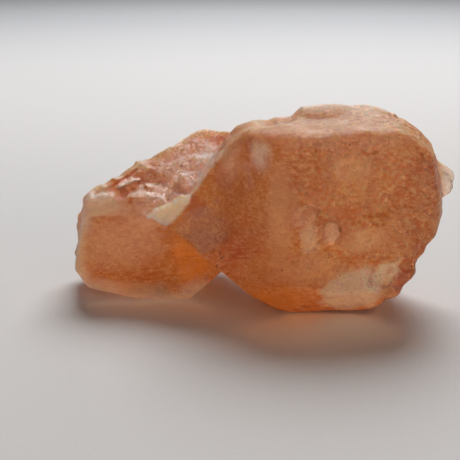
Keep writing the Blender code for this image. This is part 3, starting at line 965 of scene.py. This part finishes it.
def grain_of_stone(make, place):
    """Ripples all over, deeper dimples on the grainy skin and fine tilted facets on the drusy skin."""
    ripple = make.noise(place, RIPPLE_SIZE, 4.0, 0.65)
    wave = make.noise(make.vector("MULTIPLY", place, (0.3, 0.5, 1.0)), WAVE_SIZE, 3.0, 0.5)
    depth = make.ramp(make.painted("grainy"), 0.0, 1.0, 1.0, 4.0)
    dimples = make.math("MULTIPLY", make.noise(place, DIMPLE_SIZE, 3.0, 0.55), depth)
    bump = make.add("ShaderNodeBump")
    bump.inputs["Strength"].default_value = BUMP_STRENGTH
    bump.inputs["Distance"].default_value = BUMP_HEIGHT
    make.put(bump.inputs["Height"], make.math("ADD", make.math("ADD", ripple, wave), dimples))
    facets = make.vector("SUBTRACT", make.cells(place, FACET_SIZE).outputs["Color"], (0.5, 0.5, 0.5))
    tilt = make.math("MAXIMUM", make.painted("drusy"), make.painted("grainy", 0.38))
    tilt = make.math("MAXIMUM", tilt, LEAST_TILT)
    facing = make.vector("ADD", bump.outputs[0], make.scaled(facets, tilt))
    return make.vector("NORMALIZE", facing)


def quartz_material():
    """Milky quartz with rust veils, cream clouds and dark specks, frosted along its edges."""
    material = bpy.data.materials.new("milky_quartz")
    material.use_nodes = True
    tree = material.node_tree
    make = Nodes(tree)
    shader = tree.nodes["Principled BSDF"]
    coordinates = make.add("ShaderNodeTexCoord").outputs["Object"]
    place = make.vector("SUBTRACT", make.scaled(coordinates, 1 / MM), tuple(MEASURING_POINT))
    make.put(shader.inputs["Base Color"], colour_of_stone(make, place))
    make.put(shader.inputs["Roughness"], roughness_of_stone(make, place))
    make.put(shader.inputs["Normal"], grain_of_stone(make, place))
    shader.inputs["IOR"].default_value = QUARTZ_IOR
    shader.inputs["Specular IOR Level"].default_value = SPECULAR_LEVEL
    through = make.ramp(make.painted("cloudy"), 0.0, 1.0, CLEAREST, CLOUDIEST)
    make.put(shader.inputs["Transmission Weight"], through)
    shader.inputs["Subsurface Weight"].default_value = 1.0
    shader.inputs["Subsurface Radius"].default_value = SCATTER_COLOURS
    shader.inputs["Subsurface Scale"].default_value = SCATTER_REACH
    absorption = make.add("ShaderNodeVolumeAbsorption")
    absorption.inputs["Color"].default_value = ABSORPTION_COLOUR
    absorption.inputs["Density"].default_value = ABSORPTION_DENSITY
    tree.links.new(absorption.outputs[0], tree.nodes["Material Output"].inputs["Volume"])
    return material


def add_stone():
    """The specimen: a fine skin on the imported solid."""
    stone = copy_solid(NODE)
    evaluated(stone)
    add_leaf(stone)
    even_skin(stone, SOFT_GRAIN, 1)
    soften(stone)
    even_skin(stone, SKIN_GRAIN, 2)
    roughen(stone)
    even_skin(stone, SKIN_GRAIN, 1)
    lighten(stone)
    keep_in_box(stone)
    stone.data.shade_smooth()
    stone.data.set_sharp_from_angle(angle=SHARP_ANGLE)
    paint(stone)
    stone.data.materials.clear()
    stone.data.materials.append(quartz_material())
    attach(stone, "root")
    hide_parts(NODE)


# The floor: its side, and where the painted shade that makes it darker towards the back starts and ends,
# all in metres
FLOOR_SIDE = 8.0
FAR_START = 0.15
FAR_END = 0.8

# Its paper: the grain in millimetres, the colours, and the colour of the painted shade far off
PAPER_GRAIN = 0.7
PAPER_DARK = (0.63, 0.607, 0.59, 1)
PAPER_LIGHT = (0.68, 0.657, 0.64, 1)
FAR_PAINTED_SHADE = (0.44, 0.44, 0.45, 1)


def add_floor():
    """A wide pale floor with a fine grain, and painted shade that makes it darker far off."""
    bpy.ops.mesh.primitive_plane_add(size=FLOOR_SIDE, location=(0, 0, 0))
    floor = bpy.context.object
    floor.name = "floor"
    material = bpy.data.materials.new("floor_paper")
    material.use_nodes = True
    make = Nodes(material.node_tree)
    shader = material.node_tree.nodes["Principled BSDF"]
    coordinates = make.add("ShaderNodeTexCoord").outputs["Object"]
    grain = make.noise(make.scaled(coordinates, 1 / MM), PAPER_GRAIN, 4.0, 0.6)
    way_back = make.vector("DOT_PRODUCT", coordinates, (0, 1, 0), output="Value")
    # Painted shade: the floor grows darker towards the back
    far = make.ramp(way_back, FAR_START, FAR_END)
    paper = make.mix(grain, PAPER_DARK, PAPER_LIGHT)
    make.put(shader.inputs["Base Color"], make.mix(far, paper, FAR_PAINTED_SHADE))
    shader.inputs["Roughness"].default_value = 0.9
    shader.inputs["Specular IOR Level"].default_value = 0.1
    floor.data.materials.append(material)


# The camera looks down a little, from in front. The frame's side and the focal length are in pixels.
CAMERA_ELEVATION = 15
CAMERA_DISTANCE = 200 * MM
CAMERA_TARGET = Vector((-6.6, 8.0, 14.4))
FRAME_SIDE = 460
FOCAL_LENGTH = 1064
SENSOR = 36.0

# The lights: azimuth and elevation in degrees, distance and size in metres, power in watts and colour
LIGHTS = {
    "key": (172, 50, 1.1, 0.76, 12.9, (0.985, 0.99, 1.0)),
    "low light": (176, 16, 3.0, 1.2, 12.0, (1.0, 0.98, 0.95)),
    "fill": (30, 9, 0.6, 0.3, 0.9, (1.0, 0.74, 0.52)),
}
STUDIO_COLOUR = (0.84, 0.90, 0.97, 1.0)
STUDIO_STRENGTH = 0.12


def stone_target():
    """The point that the camera and the lights aim at."""
    return (CAMERA_TARGET + Vector(MEASURING_POINT)) * MM


def towards(azimuth, elevation):
    """Direction from the target: azimuth 0 is the front and 90 the right."""
    turn = math.radians(azimuth)
    lift = math.radians(elevation)
    return Vector((math.sin(turn) * math.cos(lift), -math.cos(turn) * math.cos(lift), math.sin(lift)))


def aim(item, direction, distance):
    """Put an object at a distance from the target and turn it to the target."""
    item.location = stone_target() + direction * distance
    item.rotation_euler = (-direction).to_track_quat("-Z", "Y").to_euler()


def add_camera():
    """The camera, at the angle from which the stone is seen."""
    data = bpy.data.cameras.new("camera")
    data.sensor_width = SENSOR
    data.lens = FOCAL_LENGTH / FRAME_SIDE * SENSOR
    data.clip_start = 0.01
    camera = bpy.data.objects.new("camera", data)
    bpy.context.scene.collection.objects.link(camera)
    aim(camera, towards(0, CAMERA_ELEVATION), CAMERA_DISTANCE)
    bpy.context.scene.camera = camera


def add_light(name, azimuth, elevation, distance, size, power, colour):
    """A round soft light that is aimed at the stone."""
    data = bpy.data.lights.new(name, "AREA")
    data.shape = "DISK"
    data.size = size
    data.energy = power
    data.color = colour
    lamp = bpy.data.objects.new(name, data)
    bpy.context.scene.collection.objects.link(lamp)
    aim(lamp, towards(azimuth, elevation), distance)


def add_world():
    """Faint light from all around."""
    world = bpy.data.worlds.new("studio")
    world.use_nodes = True
    background = world.node_tree.nodes["Background"]
    background.inputs["Color"].default_value = STUDIO_COLOUR
    background.inputs["Strength"].default_value = STUDIO_STRENGTH
    bpy.context.scene.world = world


bpy.context.scene.view_settings.view_transform = "Standard"
add_camera()
add_world()
for light_name, settings in LIGHTS.items():
    add_light(light_name, *settings)
add_floor()
add_stone()
